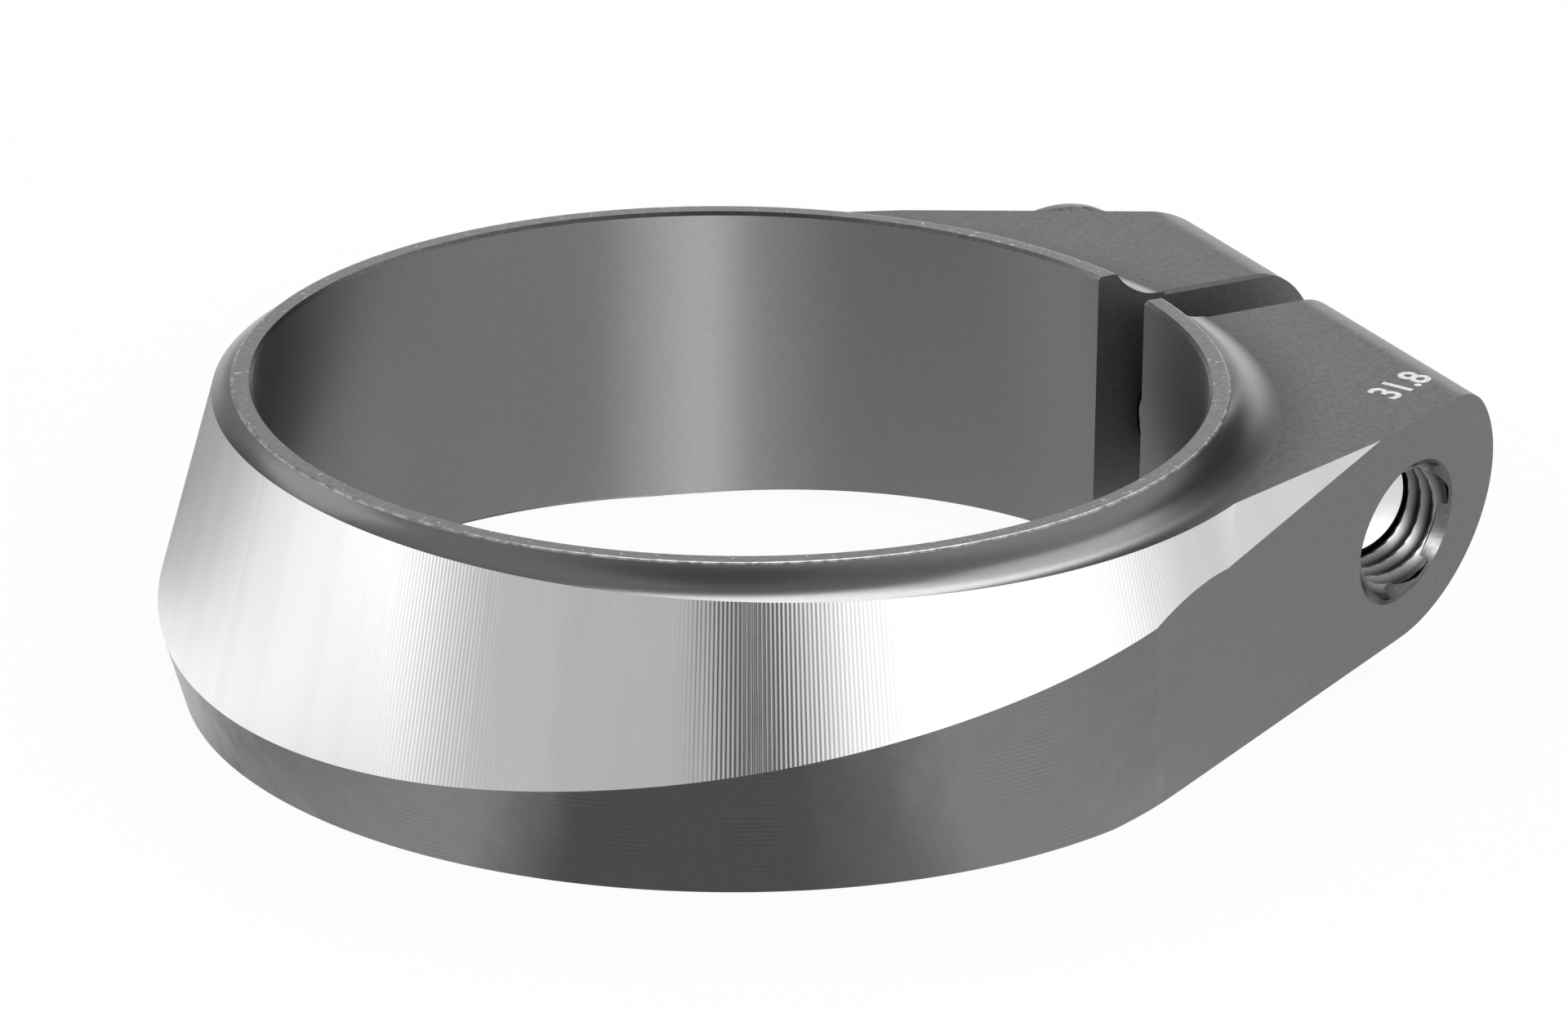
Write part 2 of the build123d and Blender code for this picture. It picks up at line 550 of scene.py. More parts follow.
@dataclass(frozen=True)
class PlainMetal:
    """A metal with one fine grain: steel coated dark or cut bare, or aluminium bared by wear or a laser."""

    name: str
    colour: str
    roughness: float
    grain_mm: float
    tone: float
    gloss_range: tuple[float, float] = (0.8, 1.2)

    def make(self) -> Material:
        """Builds the material.

        Returns:
            A metal whose tone and gloss shift a little with its grain.
        """
        material, tree = blank_material(self.name)
        place = add_node(tree, "TexCoord").outputs["Object"]
        grain = add_node(
            tree, "TexNoise", {"Scale": 1 / (self.grain_mm * MM), "Detail": 3.0}, {"Vector": place}
        )
        tone = add_node(tree, "ValToRGB", {"stops": [(0.35, 1 - self.tone), (0.6, 1.0)]}, {"Fac": grain})
        colour = add_node(tree, "Mix", TINT | {6: linear(self.colour)}, {7: tone}).outputs[2]
        smooth, rough = (self.roughness * share for share in self.gloss_range)
        gloss = add_node(tree, "MapRange", {"To Min": smooth, "To Max": rough}, {"Value": grain})
        shader = add_node(
            tree, "BsdfPrincipled", {"Metallic": 1.0}, {"Base Color": colour, "Roughness": gloss}
        )
        add_node(tree, "OutputMaterial", {}, {"Surface": shader})
        return material


Finish = AnodisedAluminium | TappedAluminium | MilledAluminium | PlainMetal


def collar_finishes() -> dict[Region, Finish]:
    """Gives the finish of each region of the collar.

    Returns:
        A finish for every region.
    """
    # The real grains are finer than a pixel of the render, so they are drawn as coarse as they need to show
    return {
        # Bead blasted: an even satin with a soft grit, smoother where it meets the cove
        Region.BLASTED: AnodisedAluminium(
            "blasted_anodised_aluminium", "#727273", roughness=0.35, grit_mm=0.16,
            grit_depth_mm=0.0035, grit_tone=0.25, inner_roughness=0.24, blend_mm=(18.2, 20.0),
        ),
        # Milled, then anodised: a smooth dark side with level scallops, whose reflections turn cloudy
        Region.SIDE: AnodisedAluminium(
            "milled_anodised_aluminium", "#7d7d7e", roughness=0.28, grit_mm=0.3,
            grit_depth_mm=0.0015, grit_tone=0.04, scallop_mm=0.17, scallop_tone=0.09,
            sway_mm=2.2, sway_depth_mm=0.2,
        ),
        # Milled after anodising: bare, bright metal that shows the whole tent
        Region.BAND: MilledAluminium(),
        # Bored: marks round the bore draw each light out to an upright strip
        Region.BORE: AnodisedAluminium(
            "bored_anodised_aluminium", "#8a8a8b", roughness=0.45, grit_mm=0.2,
            grit_depth_mm=0.001, grit_tone=0.04, anisotropy=0.93, turn=0.25,
        ),
        # Worn through the film: a thin, broken bright line along the edge of the lip
        Region.WORN: PlainMetal("worn_bare_aluminium", "#b8b8ba", roughness=0.4, grain_mm=0.25, tone=0.55),
        # Turned: the smoothest of the greys, with soft bands of light along the cove
        Region.TURNED: AnodisedAluminium(
            "turned_anodised_aluminium", "#7d7d7e", roughness=0.24, grit_mm=0.3,
            grit_depth_mm=0.0006, grit_tone=0.03,
        ),
        # Faced: a paler satin on top of the lip, with small nicks that catch the light
        Region.FACED: AnodisedAluminium(
            "faced_anodised_aluminium", "#949495", roughness=0.3, grit_mm=0.2,
            grit_depth_mm=0.002, grit_tone=0.15, nick_mm=0.22,
        ),
        # Tapped: crests worn light over roots darkened with painted shade, so that the turns of the thread
        # stand apart
        Region.TAPPED: TappedAluminium(),
        # Milled flat, then anodised: a plain, smooth grey
        Region.FLANK: AnodisedAluminium(
            "flank_anodised_aluminium", "#7d7d7e", roughness=0.3, grit_mm=0.25,
            grit_depth_mm=0.0015, grit_tone=0.06,
        ),
        # Sawn: dull, so that the slot stays dark
        Region.SAWN: AnodisedAluminium(
            "sawn_anodised_aluminium", "#747475", roughness=0.48, grit_mm=0.2,
            grit_depth_mm=0.003, grit_tone=0.1,
        ),
    }


@dataclass
class Collar:
    """The split ring with its two ears, in millimetres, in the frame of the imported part."""

    bore_r: float = 15.9
    lip_top: float = 10.65
    lip_wall: float = 0.7
    edge_break: float = 0.12
    worn_edge: float = 0.07
    # How far the middle of the worn edge lies inside its corner, as a share of the wear
    worn_round: float = 0.2
    ear_top: float = 9.7
    cove_r: float = 2.0
    foot_r: float = 18.11
    foot_shift: float = -0.25
    lower_flare: float = 0.196
    lower_drift: float = -0.109
    band_x_r: float = 18.02
    band_y_r: float = 18.15
    band_shift: float = 0.775
    band_x_flare: float = 0.288
    band_y_flare: float = 0.326
    band_drift: float = 0.040
    flank_angle: float = 27.0
    near_flank_draft: float = 7.4
    far_flank_draft: float = 5.0
    cheek_angle: float = 20.6
    cheek_reach: float = 18.03
    cheek_draft: float = 25.0
    lobe_x: float = 19.95
    lobe_z: float = 5.9
    lobe_r: float = 4.75
    relief_start: float = 5.0
    ear_end_r: float = 2.2
    slot_w: float = 2.7
    slot_y: float = 1.38
    # Where the broken edges of the slot start, as a share of the cove's radius
    slot_edge_share: float = 0.85
    thread_r: float = 2.5
    thread_depth: float = 0.433
    thread_from: float = -7.6
    thread_lead: float = 0.01
    thread_to: float = -13.0
    thread_step: float = 0.03
    clear_r: float = 2.52
    pocket_r: float = 4.0
    mouth_rim: float = 0.1
    mouth_depth: float = 0.4
    mouth_overshoot: float = 0.25
    reach: float = 32.0
    # Reach of the wedges beyond the lobe's centre, in its radii: past the ears, short of their own tip
    wedge_front: float = 1.5
    ring_points: int = 720
    hole_points: int = 180
    thread_points: int = 144
    lobe_points: int = 120
    end_points: int = 40
    cove_points: int = 32
    crease_deg: float = 5.0
    finishes: dict[Region, Finish] = field(default_factory=collar_finishes)

    def oval(self, centre: float, x_r: float, y_r: float, z: float) -> np.ndarray:
        """Gives the points of a level oval whose centre lies on X."""
        return ring_at(1.0, z, self.ring_points) * (x_r, y_r, 1.0) + (centre, 0.0, 0.0)

    def wedge(self, near: float, far: float, angle: float, z: float) -> np.ndarray:
        """Gives the corners of a plan wedge that closes in on the slot.

        Args:
            near: Distance of the near side from the bore axis.
            far: Distance of the far side from the bore axis.
            angle: Angle of the sides to X, in degrees.
            z: Height of the wedge.

        Returns:
            Four corners.
        """
        a = radians(angle)
        back, front = -self.reach, self.lobe_x + self.wedge_front * self.lobe_r
        return np.array(
            [
                (back, -(near - back * sin(a)) / cos(a), z),
                (front, -(near - front * sin(a)) / cos(a), z),
                (front, (far - front * sin(a)) / cos(a), z),
                (back, (far - back * sin(a)) / cos(a), z),
            ]
        )

    def across_y(self, profile: np.ndarray) -> Object:
        """Extrudes an XZ profile right across the part."""
        return lofted([np.insert(profile, 1, y, axis=1) for y in (-self.reach, self.reach)], Region.BLASTED)

    def relief_angle(self) -> float:
        """Gives the slope of the relief under the ears, which runs into the lobe."""
        span = self.lobe_x - self.relief_start
        return atan2(self.lobe_z, span) - asin(self.lobe_r / hypot(self.lobe_z, span))

    def flank_foot(self) -> float:
        """Gives the distance of the flanks from the bore axis at the underside."""
        return self.foot_r + self.foot_shift * sin(radians(self.flank_angle))

    def ring(self) -> Object:
        """Builds the ring's outside: the dark lower flare within the bright upper one.

        Returns:
            The ring, still solid.
        """
        band = []
        flare = []
        for z in (-OVERSHOOT_MM, self.lip_top + OVERSHOOT_MM):
            down = self.ear_top - z
            band_x = self.band_x_r + self.band_x_flare * down
            band_y = self.band_y_r + self.band_y_flare * down
            band.append(self.oval(self.band_shift + self.band_drift * down, band_x, band_y, z))
            radius = self.foot_r + self.lower_flare * z
            flare.append(self.oval(self.foot_shift + self.lower_drift * z, radius, radius, z))
        return joined(lofted(flare, Region.SIDE), lofted(band, Region.BAND), Cut.KEEP_COMMON)

    def ears(self) -> Object:
        """Builds both ears in one block: bright cheeks, and in side view a lobe about the screw.

        Returns:
            The ears, before the slot and the holes.
        """
        slope = tan(radians(self.cheek_draft))
        cheeks = []
        for z in (-OVERSHOOT_MM, self.lip_top + OVERSHOOT_MM):
            side = self.cheek_reach + (self.ear_top - z) * slope
            cheeks.append(self.wedge(side, side, self.cheek_angle, z))
        root = self.foot_shift + self.foot_r * sin(radians(self.flank_angle))
        round_z = self.ear_top - self.ear_end_r
        round_x = self.lobe_x + ((self.lobe_r - self.ear_end_r) ** 2 - (round_z - self.lobe_z) ** 2) ** 0.5
        meet = atan2(round_z - self.lobe_z, round_x - self.lobe_x)
        lobe = np.linspace(self.relief_angle() - pi / 2, meet, self.lobe_points)
        end = np.linspace(meet, pi / 2, self.end_points)[1:]
        low, high = -OVERSHOOT_MM / 2, self.lip_top + OVERSHOOT_MM / 2
        profile = np.vstack(
            [
                [(root, low)],
                np.c_[self.lobe_x + self.lobe_r * np.cos(lobe), self.lobe_z + self.lobe_r * np.sin(lobe)],
                np.c_[round_x + self.ear_end_r * np.cos(end), round_z + self.ear_end_r * np.sin(end)],
                [(round_x, high), (root, high)],
            ]
        )
        return joined(self.across_y(profile), lofted(cheeks, Region.BAND), Cut.KEEP_COMMON)

    def relief(self) -> Object:
        """Builds the cutter for the sloped relief under the ears.

        Returns:
            The cutter.
        """
        rise = tan(self.relief_angle())
        low = -2 * OVERSHOOT_MM
        profile = np.array(
            [
                (self.relief_start, 0.0),
                (self.reach, (self.reach - self.relief_start) * rise),
                (self.reach, low),
                (self.relief_start + low / rise, low),
            ]
        )
        return self.across_y(profile)

    def flanks(self) -> Object:
        """Builds the wedge whose drafted sides are the flanks, from the underside to the lip.

        Returns:
            The wedge, which holds all of the part.
        """
        foot = self.flank_foot()
        near = foot + self.lip_top * tan(radians(self.near_flank_draft))
        far = foot + self.lip_top * tan(radians(self.far_flank_draft))
        rings = [
            self.wedge(foot, foot, self.flank_angle, 0.0),
            self.wedge(near, far, self.flank_angle, self.lip_top),
        ]
        return lofted(rings, Region.FLANK, (Region.FACED, Region.FACED))

    def lip_cutter(self) -> Object:
        """Builds the turned cutter for the lip's worn edge, the cove and the flat top of the ears.

        Returns:
            The cutter.
        """
        lip_r = self.bore_r + self.lip_wall
        cove_z = self.ear_top + self.cove_r
        cove_x = lip_r + (self.cove_r**2 - (cove_z - self.lip_top) ** 2) ** 0.5
        start = atan2(self.lip_top - cove_z, lip_r - cove_x) + self.worn_edge / self.cove_r + 2 * pi
        arc = np.linspace(start, 1.5 * pi, self.cove_points)
        edge, top = lip_r - self.worn_edge, self.lip_top + 2 * OVERSHOOT_MM
        inset = self.worn_round * self.worn_edge
        points = [(edge, top), (edge, self.lip_top), (lip_r - inset, self.lip_top - inset)]
        points += [(cove_x + self.cove_r * cos(a), cove_z + self.cove_r * sin(a)) for a in arc]
        points += [(self.reach, self.ear_top), (self.reach, top)]
        regions = [Region.BLASTED, Region.WORN, Region.WORN]
        regions += [Region.TURNED] * (len(arc) - 1) + [Region.BLASTED] * 3
        rings = [ring_at(r, z, self.ring_points) for r, z in points]
        return lofted(rings, regions, wrap=True)

    def bore_cutter(self) -> Object:
        """Builds the cutter for the bore and its two broken edges.

        Returns:
            The cutter.
        """
        wide = self.bore_r + self.edge_break + OVERSHOOT_MM
        rows = [
            (wide, -OVERSHOOT_MM),
            (self.bore_r, self.edge_break),
            (self.bore_r, self.lip_top - self.edge_break),
            (wide, self.lip_top + OVERSHOOT_MM),
        ]
        rings = [ring_at(radius, z, self.ring_points) for radius, z in rows]
        return lofted(rings, [Region.BLASTED, Region.BORE, Region.BLASTED])

    def slot_cutters(self) -> list[Object]:
        """Builds the cutters for the slot and for its broken edges along the ears' flat top.

        Returns:
            The two cutters.
        """
        half, wide = self.slot_w / 2, self.slot_w / 2 + self.edge_break
        top = self.lip_top + 2 * OVERSHOOT_MM
        slot = [(half, -2 * OVERSHOOT_MM), (half, top)]
        edges = [(half, self.ear_top - self.edge_break), (wide, self.ear_top), (wide, top)]
        edge_start = self.bore_r + self.lip_wall + self.cove_r * self.slot_edge_share
        cutters = []
        for right, start in ((slot, 0.0), (edges, edge_start)):
            section = right + [(-y, z) for y, z in reversed(right)]
            rings = [np.array([(x, self.slot_y + y, z) for y, z in section]) for x in (start, self.reach)]
            cutters.append(lofted(rings, Region.SAWN))
        return cutters

    def thread_cutter(self) -> Object:
        """Builds the cutter for the hole about the screw and the free turns of thread beyond its tip.

        Returns:
            The cutter.
        """
        count = self.thread_points
        turn = np.arange(count) / count
        crest = self.thread_r - self.thread_depth
        rings = [screw_ring(self.thread_r, y, count) for y in (self.slot_y, self.thread_from)]
        for y in np.arange(self.thread_from - self.thread_lead, self.thread_to, -self.thread_step):
            phase = (y / PITCH_MM - turn) % 1.0
            flank = np.abs(phase - 0.5) / FLANK_SHARE - HALF_CREST_SHARE / FLANK_SHARE
            rings.append(screw_ring(crest + self.thread_depth * np.clip(flank, 0.0, 1.0), y, count))
        return lofted(rings, Region.TAPPED)

    def mouth_cutter(self) -> Object:
        """Builds the cutter that breaks the mouth of the threaded hole, square to the flank.

        Returns:
            The cutter, a short cone.
        """
        a = radians(self.flank_angle)
        slope = tan(radians(self.near_flank_draft))
        rings = []
        for inset in (self.mouth_depth, -self.mouth_overshoot):
            flat = screw_ring(self.thread_r + self.mouth_rim - inset, 0.0, self.thread_points)
            flat[:, 1] = (flat[:, 0] * sin(a) - self.flank_foot() - slope * flat[:, 2] + inset) / cos(a)
            rings.append(flat)
        return lofted(rings, Region.BLASTED)

    def build(self) -> Object:
        """Builds the collar from its solids.

        Returns:
            The finished collar, in metres.
        """
        body = joined(self.ring(), self.ears(), Cut.ADD)
        body = joined(body, self.flanks(), Cut.KEEP_COMMON)
        cutters = [self.relief(), self.lip_cutter(), self.bore_cutter(), *self.slot_cutters()]
        cutters += [self.thread_cutter(), self.mouth_cutter()]
        for radius, start in ((self.clear_r, self.slot_y), (self.pocket_r, SEAT_Y_MM)):
            rings = [screw_ring(radius, y, self.hole_points) for y in (start, self.reach)]
            cutters.append(lofted(rings, Region.BLASTED))
        for cutter in cutters:
            body = joined(body, cutter, Cut.REMOVE)
        return finished(body, "collar_dressed", self.crease_deg)

    def dress(self, piece: Object) -> None:
        """Puts a finish on each region and hands the piece to its body.

        Args:
            piece: The built collar.
        """
        for region, finish in self.finishes.items():
            piece.data.materials[region] = finish.make()
        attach(piece, "collar")
        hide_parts("collar")


@dataclass
class Bolt:
    """The M5 socket-head screw, in millimetres, along Y from its tip to its head."""

    length: float = 16.0
    crest_r: float = 2.45
    depth: float = 0.45
    # Half of the flat at the root of the thread, as a share of a flank
    root_flat: float = 0.15
    thread_step: float = 0.05
    thread_end: float = 0.6
    plain_neck: float = 0.5
    tip_break: float = 0.5
    tip_dish: float = 0.4
    dish_rings: int = 9
    # Innermost ring of the dish, as a share of the tip's radius
    dish_centre: float = 0.08
    head_r: float = 3.9
    head_h: float = 5.0
    head_break: float = 0.5
    # Middle of the head's broken edge, which is crowned: inwards and down, as shares of the break
    head_crown: tuple[float, float] = (0.35, 0.24)
    head_foot_break: float = 0.1
    knurls: int = 30
    knurl_depth: float = 0.12
    # Where the knurl fades in and out: from the seat, and from the top of the head
    knurl_low: tuple[float, float] = (0.5, 0.6)
    knurl_high: tuple[float, float] = (0.9, 0.8)
    socket_af: float = 4.0
    socket_depth: float = 2.6
    socket_break: float = 0.15
    socket_centre_r: float = 0.3
    points: int = 120
    crease_deg: float = 25.0
    finishes: tuple[PlainMetal, PlainMetal] = (
        # Coated: a dull, dark grey in which only the edges of the knurl and the socket catch the light
        PlainMetal("dark_coated_steel", "#7c7c7e", roughness=0.4, grain_mm=0.2, tone=0.15),
        # Cut off after coating: a bright tip deep in the hole
        PlainMetal("cut_bare_steel", "#f8f8f8", roughness=0.2, grain_mm=0.2, tone=0.03),
    )

    def threaded_rows(self) -> list[tuple[np.ndarray | float, float]]:
        """Gives the rings of the dished tip, the thread and the neck.

        Returns:
            A radius, or one for each point, and a Y for each ring.
        """
        turn = np.arange(self.points) / self.points
        tip = SEAT_Y_MM - self.length
        flat_r = self.crest_r - self.tip_break
        shares = np.linspace(self.dish_centre, 1.0, self.dish_rings)
        rows = [(flat_r * share, tip + self.tip_dish * (1 - share**2)) for share in shares]
        for y in np.arange(tip + self.thread_step, SEAT_Y_MM - self.thread_end, self.thread_step):
            phase = (y / PITCH_MM - turn) % 1.0
            groove = np.clip(1 + self.root_flat - np.abs(phase - 0.5) / FLANK_SHARE, 0.0, 1.0)
            limit = flat_r + (y - tip)
            rows.append((np.minimum(self.crest_r - self.depth * groove, limit), y))
        return rows + [(self.crest_r, SEAT_Y_MM - self.plain_neck), (self.crest_r, SEAT_Y_MM)]

    def head_rows(self) -> list[tuple[np.ndarray | float, float]]:
        """Gives the rings of the knurled head and its socket.

        Returns:
            A radius, or one for each point, and a Y for each ring.
        """
        turn = np.arange(self.points) / self.points
        seat, top = SEAT_Y_MM, SEAT_Y_MM + self.head_h
        ridge = self.head_r - self.knurl_depth * (0.5 + 0.5 * np.cos(2 * pi * self.knurls * turn))
        side = (turn * 6) % 1.0 - 0.5
        hexagon = self.socket_af / 2 / np.cos(side * pi / 3)
        floor = top - self.socket_depth
        crown_in, crown_down = (self.head_break * share for share in self.head_crown)
        return [
            (self.head_r - self.head_foot_break, seat),
            (self.head_r, seat + self.head_foot_break),
            (self.head_r, seat + self.knurl_low[0]),
            (ridge, seat + self.knurl_low[1]),
            (ridge, top - self.knurl_high[0]),
            (self.head_r, top - self.knurl_high[1]),
            (self.head_r, top - self.head_break),
            (self.head_r - crown_in, top - crown_down),
            (self.head_r - self.head_break, top),
            (hexagon + self.socket_break, top),
            (hexagon, top - self.socket_break),
            (hexagon, floor),
            (self.socket_centre_r, floor),
        ]

    def build(self) -> Object:
        """Builds the screw as one skin of rings from tip to socket.

        Returns:
            The finished screw, in metres.
        """
        rows = self.threaded_rows() + self.head_rows()
        rings = [screw_ring(radius, y, self.points) for radius, y in rows]
        coats = [Coat.CUT] * (self.dish_rings - 1) + [Coat.COATED] * (len(rings) - self.dish_rings)
        return finished(lofted(rings, coats, (Coat.CUT, Coat.COATED)), "bolt_dressed", self.crease_deg)

    def dress(self, piece: Object) -> None:
        """Puts the coat and the bare tip on the screw and hands it to its body.

        Args:
            piece: The built screw.
        """
        for coat, finish in zip(Coat, self.finishes):
            piece.data.materials[coat] = finish.make()
        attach(piece, "bolt")
        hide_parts("bolt")


@dataclass
class SizeMark:
    """The tube size on the near ear, bared through the anodising by a laser."""

    text: str = "31.8"
    height_mm: float = 1.15
    font_share: float = 1.4
    half_thickness_mm: float = 0.006
    stroke_offset_mm: float = 0.030
    spacing: float = 0.95
    x_mm: float = 20.86
    y_mm: float = -8.64
    z_mm: float = 9.7
    turn_deg: float = 27.0
    # Bared by a laser: pale, dull metal that reads clearly on the grey
    finish: PlainMetal = PlainMetal(
        "laser_bared_aluminium", "#e6e6e6", roughness=0.5, grain_mm=0.1, tone=0.25
    )

    def build(self) -> Object:
        """Builds the numbers as a thin mesh on the ear.

        Returns:
            The numbers, in metres.
        """
        curve = bpy.data.curves.new("numbers", "FONT")
        curve.body = self.text
        curve.size = self.height_mm * MM * self.font_share
        curve.extrude = self.half_thickness_mm * MM
        curve.offset = self.stroke_offset_mm * MM
        curve.space_character = self.spacing
        curve.align_x = "CENTER"
        curve.align_y = "CENTER"
        text = in_scene("numbers", curve)
        mesh = bpy.data.meshes.new_from_object(text.evaluated_get(bpy.context.evaluated_depsgraph_get()))
        bpy.data.objects.remove(text)
        turn = Matrix.Rotation(radians(self.turn_deg), 4, "Z")
        mesh.transform(Matrix.Translation(Vector((self.x_mm, self.y_mm, self.z_mm)) * MM) @ turn)
        mesh.name = "size_mark"
        return in_scene("size_mark", mesh)

    def dress(self, piece: Object) -> None:
        """Puts the bared metal on the numbers and hands them to the collar.

        Args:
            piece: The built numbers.
        """
        piece.data.materials.clear()
        piece.data.materials.append(self.finish.make())
        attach(piece, "collar")


@dataclass(frozen=True)
class Panel:
    """A softbox: its place and size as seen from the part, in degrees, its brightness and its distance."""

    name: str
    azimuth: float
    elevation: float
    width: float
    height: float
    level: float
    distance: float = 0.8

    def build(self, camera_side: float) -> None:
        """Hangs the softbox, out of the camera's sight.

        Args:
            camera_side: Azimuth of the camera in the part's frame, in degrees.
        """
        across, tall = (self.distance * tan(radians(a / 2)) for a in (self.width, self.height))
        panel = flat_sheet(self.name, across, tall)
        azimuth, elevation = radians(camera_side + self.azimuth), radians(self.elevation)
        level = cos(elevation)
        way = Vector((level * cos(azimuth), level * sin(azimuth), sin(elevation)))
        facing = way.to_track_quat("Z", "Y").to_matrix().to_4x4()
        panel.matrix_world = Matrix.Translation(way * self.distance) @ facing
        # Lit cloth: one even white, as the metal shows it
        material, tree = blank_material(self.name + "_cloth")
        cloth = add_node(tree, "Emission", {"Color": WHITE, "Strength": self.level})
        add_node(tree, "OutputMaterial", {}, {"Surface": cloth})
        panel.data.materials.append(material)
        panel.visible_camera = False
        panel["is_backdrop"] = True


@dataclass
class Studio:
    """A white table in a light tent, with the camera at the photograph's angle."""

    eye_mm: tuple[float, float, float] = (-130.513, -246.490, 117.160)
    facing_deg: float = -27.9
    pan_deg: float = 0.373
    tilt_deg: float = 21.749
    roll_deg: float = 0.718
    lens_px: float = 10993.5
    frame_px: int = 1920
    sensor_mm: float = 36.0
    clip_start_m: float = 0.01
    # The tent's wall at the height of the part, the wall above, and the roof
    wall_tones: Tones = (
        (-180, 1.95), (-168, 1.8), (-150, 0.5), (-132, 0.62), (-114, 1.5), (-88, 2.0), (-80, 1.95),
        (-71, 1.4), (-59, 0.71), (-22, 0.6), (-6.2, 0.62), (-5.2, 0.0), (2.5, 0.0), (10, 0.75),
        (24, 1.5), (76, 1.5), (94, 0.9), (119, 0.8), (129, 0.12), (152, 0.12), (164, 1.45),
        (173, 1.85), (180, 1.95),
    )
    upper_tones: Tones = (
        (-180, 0.0), (-140, 0.3), (-80, 0.75), (-55, 0.75), (-38, 0.6), (-24, 0.4), (-10, 0.15),
        (11, 0.15), (25, 0.6), (60, 1.2), (117, 1.1), (130, 0.12), (152, 0.08), (180, 0.0),
    )
    roof_tones: Tones = (
        (-180, 0.25), (-110, 0.8), (-58, 0.75), (-34, 0.3), (18, 0.2), (40, 0.5), (110, 0.6),
        (180, 0.25),
    )
    # The table round the part and inside its bore, as the metal shows it
    table_tones: Tones = (
        (-180, 1.8), (-166, 1.2), (-150, 0.38), (-128, 0.4), (-115, 0.58), (-104, 0.9), (-96, 1.02),
        (-88, 1.05), (-78, 0.95), (-62, 0.62), (-36, 1.0), (-28, 1.0), (-17, 0.34), (8, 0.34),
        (20, 0.6), (28, 1.0), (45, 0.95), (62, 0.78), (85, 0.72), (105, 0.68), (122, 1.0),
        (132, 1.35), (154, 1.1), (168, 0.9), (176, 1.7), (180, 1.8),
    )
    well_tones: Tones = (
        (-180, 0.92), (-155, 1.05), (-110, 0.75), (-60, 0.85), (-10, 1.05), (20, 1.05), (60, 1.0),
        (110, 1.1), (180, 0.92),
    )
    tone_peak: float = 2.0
    # Elevations between which the wall turns to the wall above, and that to the roof
    upper_deg: tuple[float, float] = (13.0, 22.0)
    roof_deg: tuple[float, float] = (40.0, 65.0)
    well_r_mm: float = 15.9
    table_half_m: float = 1.5
    table_drop_mm: float = 0.1
    table_white_share: float = 0.95
    sheet_colour: str = "#f0f0f0"
    panels: tuple[Panel, ...] = (
        Panel("left_softbox", azimuth=-111.5, elevation=30.0, width=32.0, height=26.0, level=1.4),
        Panel("back_softbox", azimuth=173.0, elevation=55.0, width=22.0, height=32.0, level=4.5),
        Panel("right_back_softbox", azimuth=147.0, elevation=54.0, width=30.0, height=26.0, level=2.0),
        Panel("front_strip", azimuth=6.0, elevation=27.0, width=9.0, height=11.0, level=29.0),
        Panel("right_strip", azimuth=17.5, elevation=27.0, width=16.0, height=11.0, level=13.0),
        Panel("left_strip", azimuth=-10.0, elevation=27.0, width=21.0, height=11.0, level=4.5),
    )

    def camera(self) -> None:
        """Places the camera from the angles that the photograph's circles give."""
        turn = Matrix.Rotation(radians(self.facing_deg), 3, "Z")
        pan, tilt, roll = (radians(a) for a in (self.pan_deg, self.tilt_deg, self.roll_deg))
        ahead = Vector((sin(pan) * cos(tilt), cos(pan) * cos(tilt), -sin(tilt)))
        level = Vector((cos(pan), -sin(pan), 0.0))
        above = level.cross(ahead)
        right = turn @ (level * cos(roll) + above * sin(roll))
        up = turn @ (above * cos(roll) - level * sin(roll))
        back = turn @ -ahead
        lens = bpy.data.cameras.new("camera")
        lens.sensor_fit = "HORIZONTAL"
        lens.sensor_width = self.sensor_mm
        lens.lens = self.lens_px / self.frame_px * self.sensor_mm
        lens.clip_start = self.clip_start_m
        eye = in_scene("camera", lens)
        pose = Matrix((right, up, back)).transposed().to_4x4()
        eye.matrix_world = Matrix.Translation(Vector(self.eye_mm) * MM) @ pose
        bpy.context.scene.camera = eye

    def tones_round(self, tree: NodeTree, place: NodeSocket, tones: Tones) -> Node:
        """Gives a brightness that changes with the azimuth of a place or a direction.

        Args:
            tree: Node tree that takes the nodes.
            place: Vector from the middle of the part.
            tones: Azimuths and brightnesses.

        Returns:
            The brightness.
        """
        to_camera = {"rotation_type": "Z_AXIS", "Angle": radians(90.0 - self.facing_deg)}
        turned = add_node(tree, "VectorRotate", to_camera, {"Vector": place})
        flat = add_node(tree, "SeparateXYZ", {}, {"Vector": turned})
        angle = add_node(
            tree, "Math", {"operation": "ARCTAN2"}, {0: flat.outputs["Y"], 1: flat.outputs["X"]}
        )
        share = add_node(tree, "MapRange", {"From Min": -pi, "From Max": pi}, {"Value": angle})
        # A ramp holds up to one, so that its tones are shares of the peak
        stops = [(azimuth / 360 + 0.5, tone / self.tone_peak) for azimuth, tone in tones]
        ramp = add_node(tree, "ValToRGB", {"stops": stops}, {"Fac": share})
        return add_node(tree, "Math", {"operation": "MULTIPLY", 1: self.tone_peak}, {0: ramp})

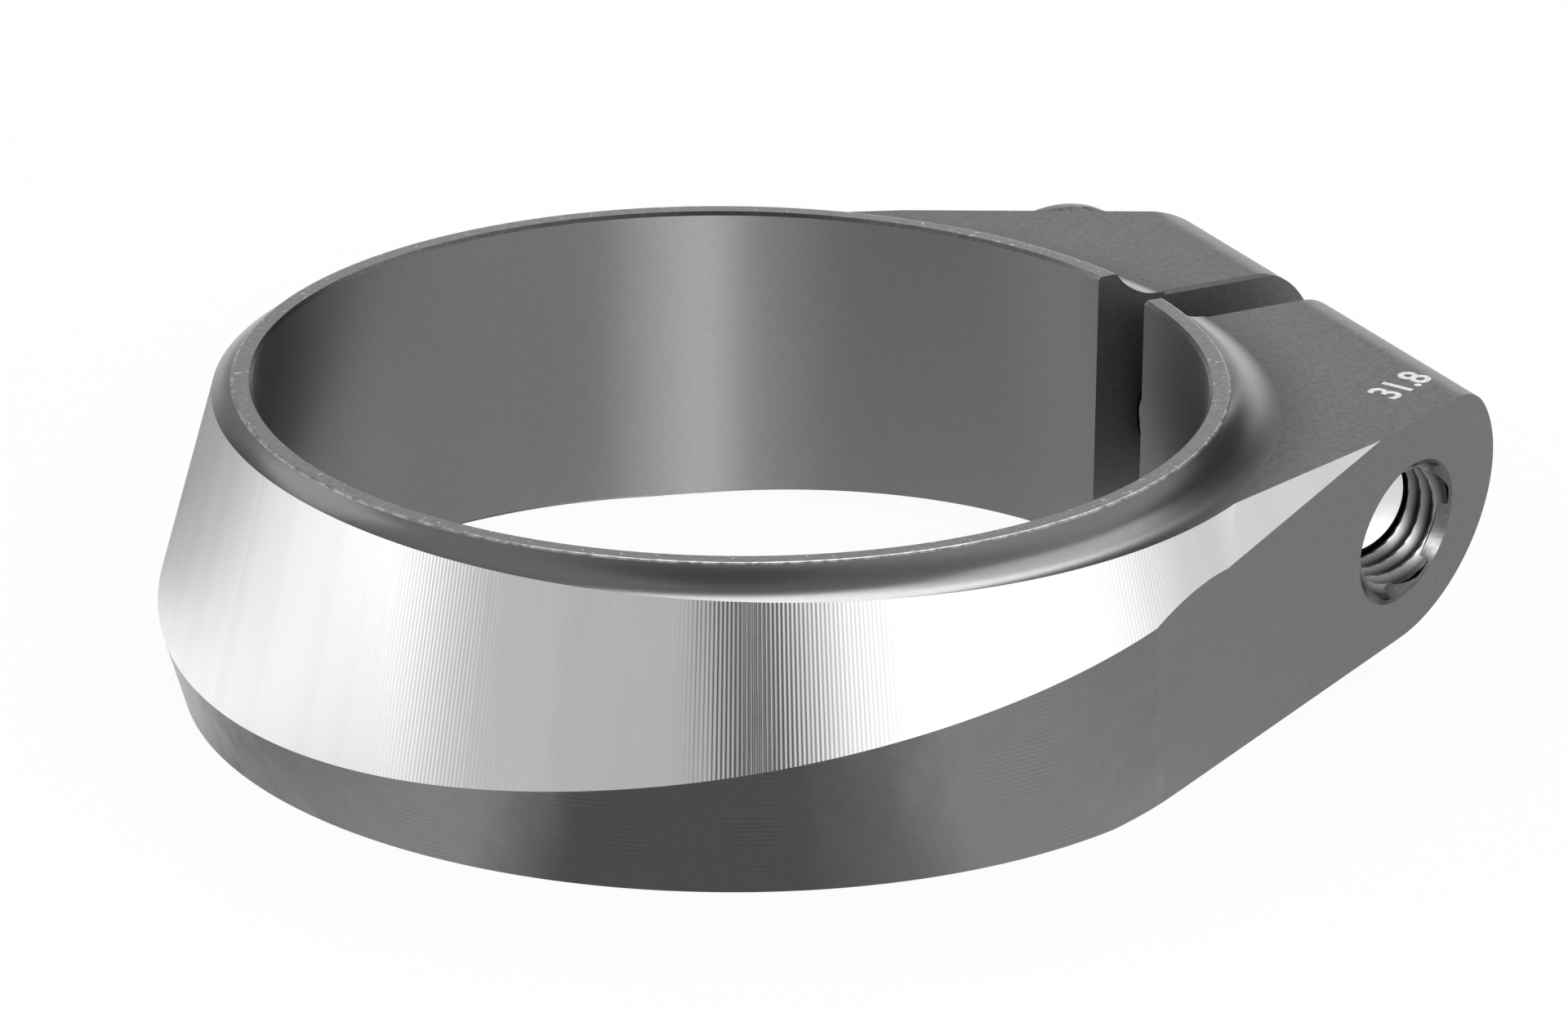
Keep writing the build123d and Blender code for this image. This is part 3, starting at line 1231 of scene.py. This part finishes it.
    def tent(self) -> None:
        """Builds the world: pale walls that the metal shows, and white behind the part."""
        world = bpy.data.worlds.new("light_tent")
        world.use_nodes = True
        tree = world.node_tree
        tree.nodes.clear()
        way = add_node(tree, "TexCoord").outputs["Generated"]
        apart = add_node(tree, "SeparateXYZ", {}, {"Vector": way})
        light = self.tones_round(tree, way, self.wall_tones)
        for (low, high), tones in ((self.upper_deg, self.upper_tones), (self.roof_deg, self.roof_tones)):
            rise = {"From Min": sin(radians(low)), "From Max": sin(radians(high))}
            rise |= {"interpolation_type": "SMOOTHSTEP"}
            above = add_node(tree, "MapRange", rise, {"Value": apart.outputs["Z"]})
            parts = {0: above, 2: light, 3: self.tones_round(tree, way, tones)}
            light = add_node(tree, "Mix", {"data_type": "FLOAT"}, parts)
        tent = add_node(tree, "Background", {}, {"Strength": light})
        white = add_node(tree, "Background", {"Color": WHITE, "Strength": 1.0})
        seen = add_node(tree, "LightPath").outputs["Is Camera Ray"]
        both = add_node(tree, "MixShader", {}, {0: seen, 1: tent, 2: white})
        add_node(tree, "OutputWorld", {}, {"Surface": both})
        bpy.context.scene.world = world

    def table(self) -> None:
        """Builds the white table, which keeps a faint shadow of the part."""
        table = flat_sheet("table", self.table_half_m, self.table_half_m)
        table.location.z = -self.table_drop_mm * MM
        # A matt white sheet: white to the eye, and in the metal the tones that the tent throws on it
        material, tree = blank_material("white_table_sheet")
        place = add_node(tree, "TexCoord").outputs["Object"]
        far = add_node(tree, "VectorMath", {"operation": "LENGTH"}, {0: place}).outputs["Value"]
        outside = add_node(tree, "Math", {"operation": "GREATER_THAN", 1: self.well_r_mm * MM}, {0: far})
        well, open_table = (self.tones_round(tree, place, t) for t in (self.well_tones, self.table_tones))
        shown = add_node(tree, "Mix", {"data_type": "FLOAT"}, {0: outside, 2: well, 3: open_table})
        sheet = add_node(tree, "BsdfDiffuse", {"Color": linear(self.sheet_colour)})
        white = add_node(tree, "Emission", {"Color": WHITE, "Strength": 1.0})
        mirrored = add_node(tree, "Emission", {"Color": WHITE}, {"Strength": shown})
        path = add_node(tree, "LightPath").outputs
        whiteness = {"operation": "MULTIPLY", 1: self.table_white_share}
        seen = add_node(tree, "Math", whiteness, {0: path["Is Camera Ray"]})
        rays = {0: path["Is Glossy Ray"], 1: path["Is Transmission Ray"]}
        clear = add_node(tree, "Math", {"operation": "MAXIMUM"}, rays)
        by_eye = add_node(tree, "MixShader", {}, {0: seen, 1: sheet, 2: white})
        both = add_node(tree, "MixShader", {}, {0: clear, 1: by_eye, 2: mirrored})
        add_node(tree, "OutputMaterial", {}, {"Surface": both})
        table.data.materials.append(material)
        table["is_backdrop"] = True

    def build(self) -> None:
        """Builds the camera, the tent, the table and the softboxes."""
        self.camera()
        self.tent()
        self.table()
        for panel in self.panels:
            panel.build(self.facing_deg - 90.0)
        bpy.context.scene.view_settings.view_transform = "Standard"


def main(cad_box: tuple[Vector, Vector]) -> None:
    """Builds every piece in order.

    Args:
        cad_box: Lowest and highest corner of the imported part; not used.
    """
    logging.basicConfig(level=logging.INFO, format="%(name)s %(message)s")
    for part in (Collar(), Bolt(), SizeMark()):
        piece = part.build()
        part.dress(piece)
        LOG.info("%s: %d vertices", piece.name, len(piece.data.vertices))
    Studio().build()
    LOG.info("studio: camera, tent, table and softboxes")


if __name__ == "__main__":
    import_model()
    main(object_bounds())
